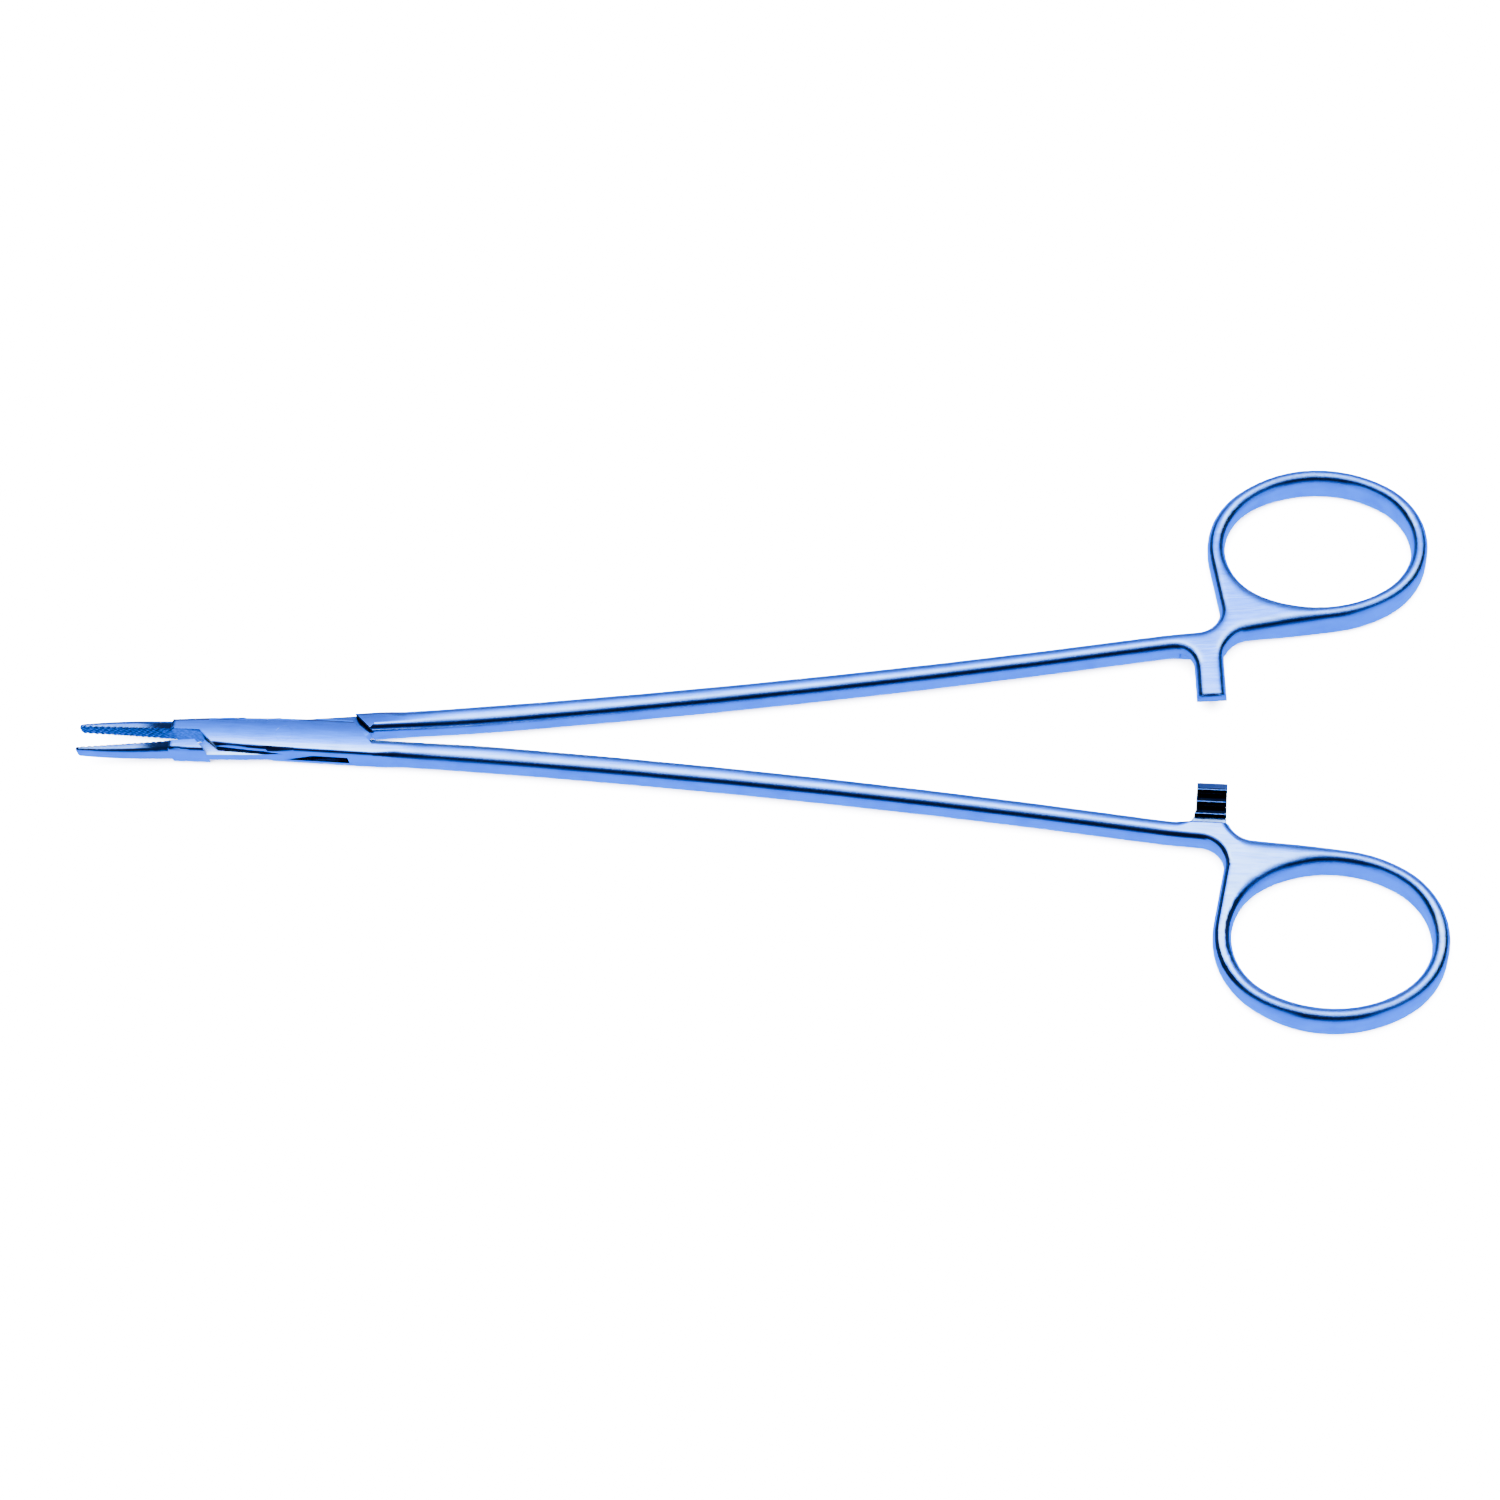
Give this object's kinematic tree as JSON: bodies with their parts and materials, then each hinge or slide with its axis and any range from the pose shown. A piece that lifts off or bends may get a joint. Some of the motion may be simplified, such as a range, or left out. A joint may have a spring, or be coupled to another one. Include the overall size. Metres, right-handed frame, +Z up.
{
  "type": "surgical needle holder",
  "caption": "Long slender needle holder with a box lock, straight narrow jaws with crossed grooves, oval finger rings and a ratchet, lying open by a few degrees.",
  "frame": {"origin": "on the pivot axis, at the flat underside of the box", "axes": "+X from the pivot to the finger rings along the middle between the arms, +Y towards the ring of the tongue arm, +Z up along the pivot axis"},
  "size_m": [0.1993, 0.0904, 0.0048],
  "materials": {
    "box_arm_steel": "polished",
    "tongue_arm_steel": "polished",
    "pin_steel": "polished"
  },
  "bodies": {
    "box_side": {"box_arm": "box_arm_steel", "pivot_pin": "pin_steel"},
    "tongue_side": {"tongue_arm": "tongue_arm_steel"}
  },
  "joints": [
    {"name": "box_lock", "type": "hinge", "parent": "box_side", "child": "tongue_side", "pos_m": [0, 0, 0], "axis": [0, 0, 1], "range_deg": [-6, 34]}
  ]
}
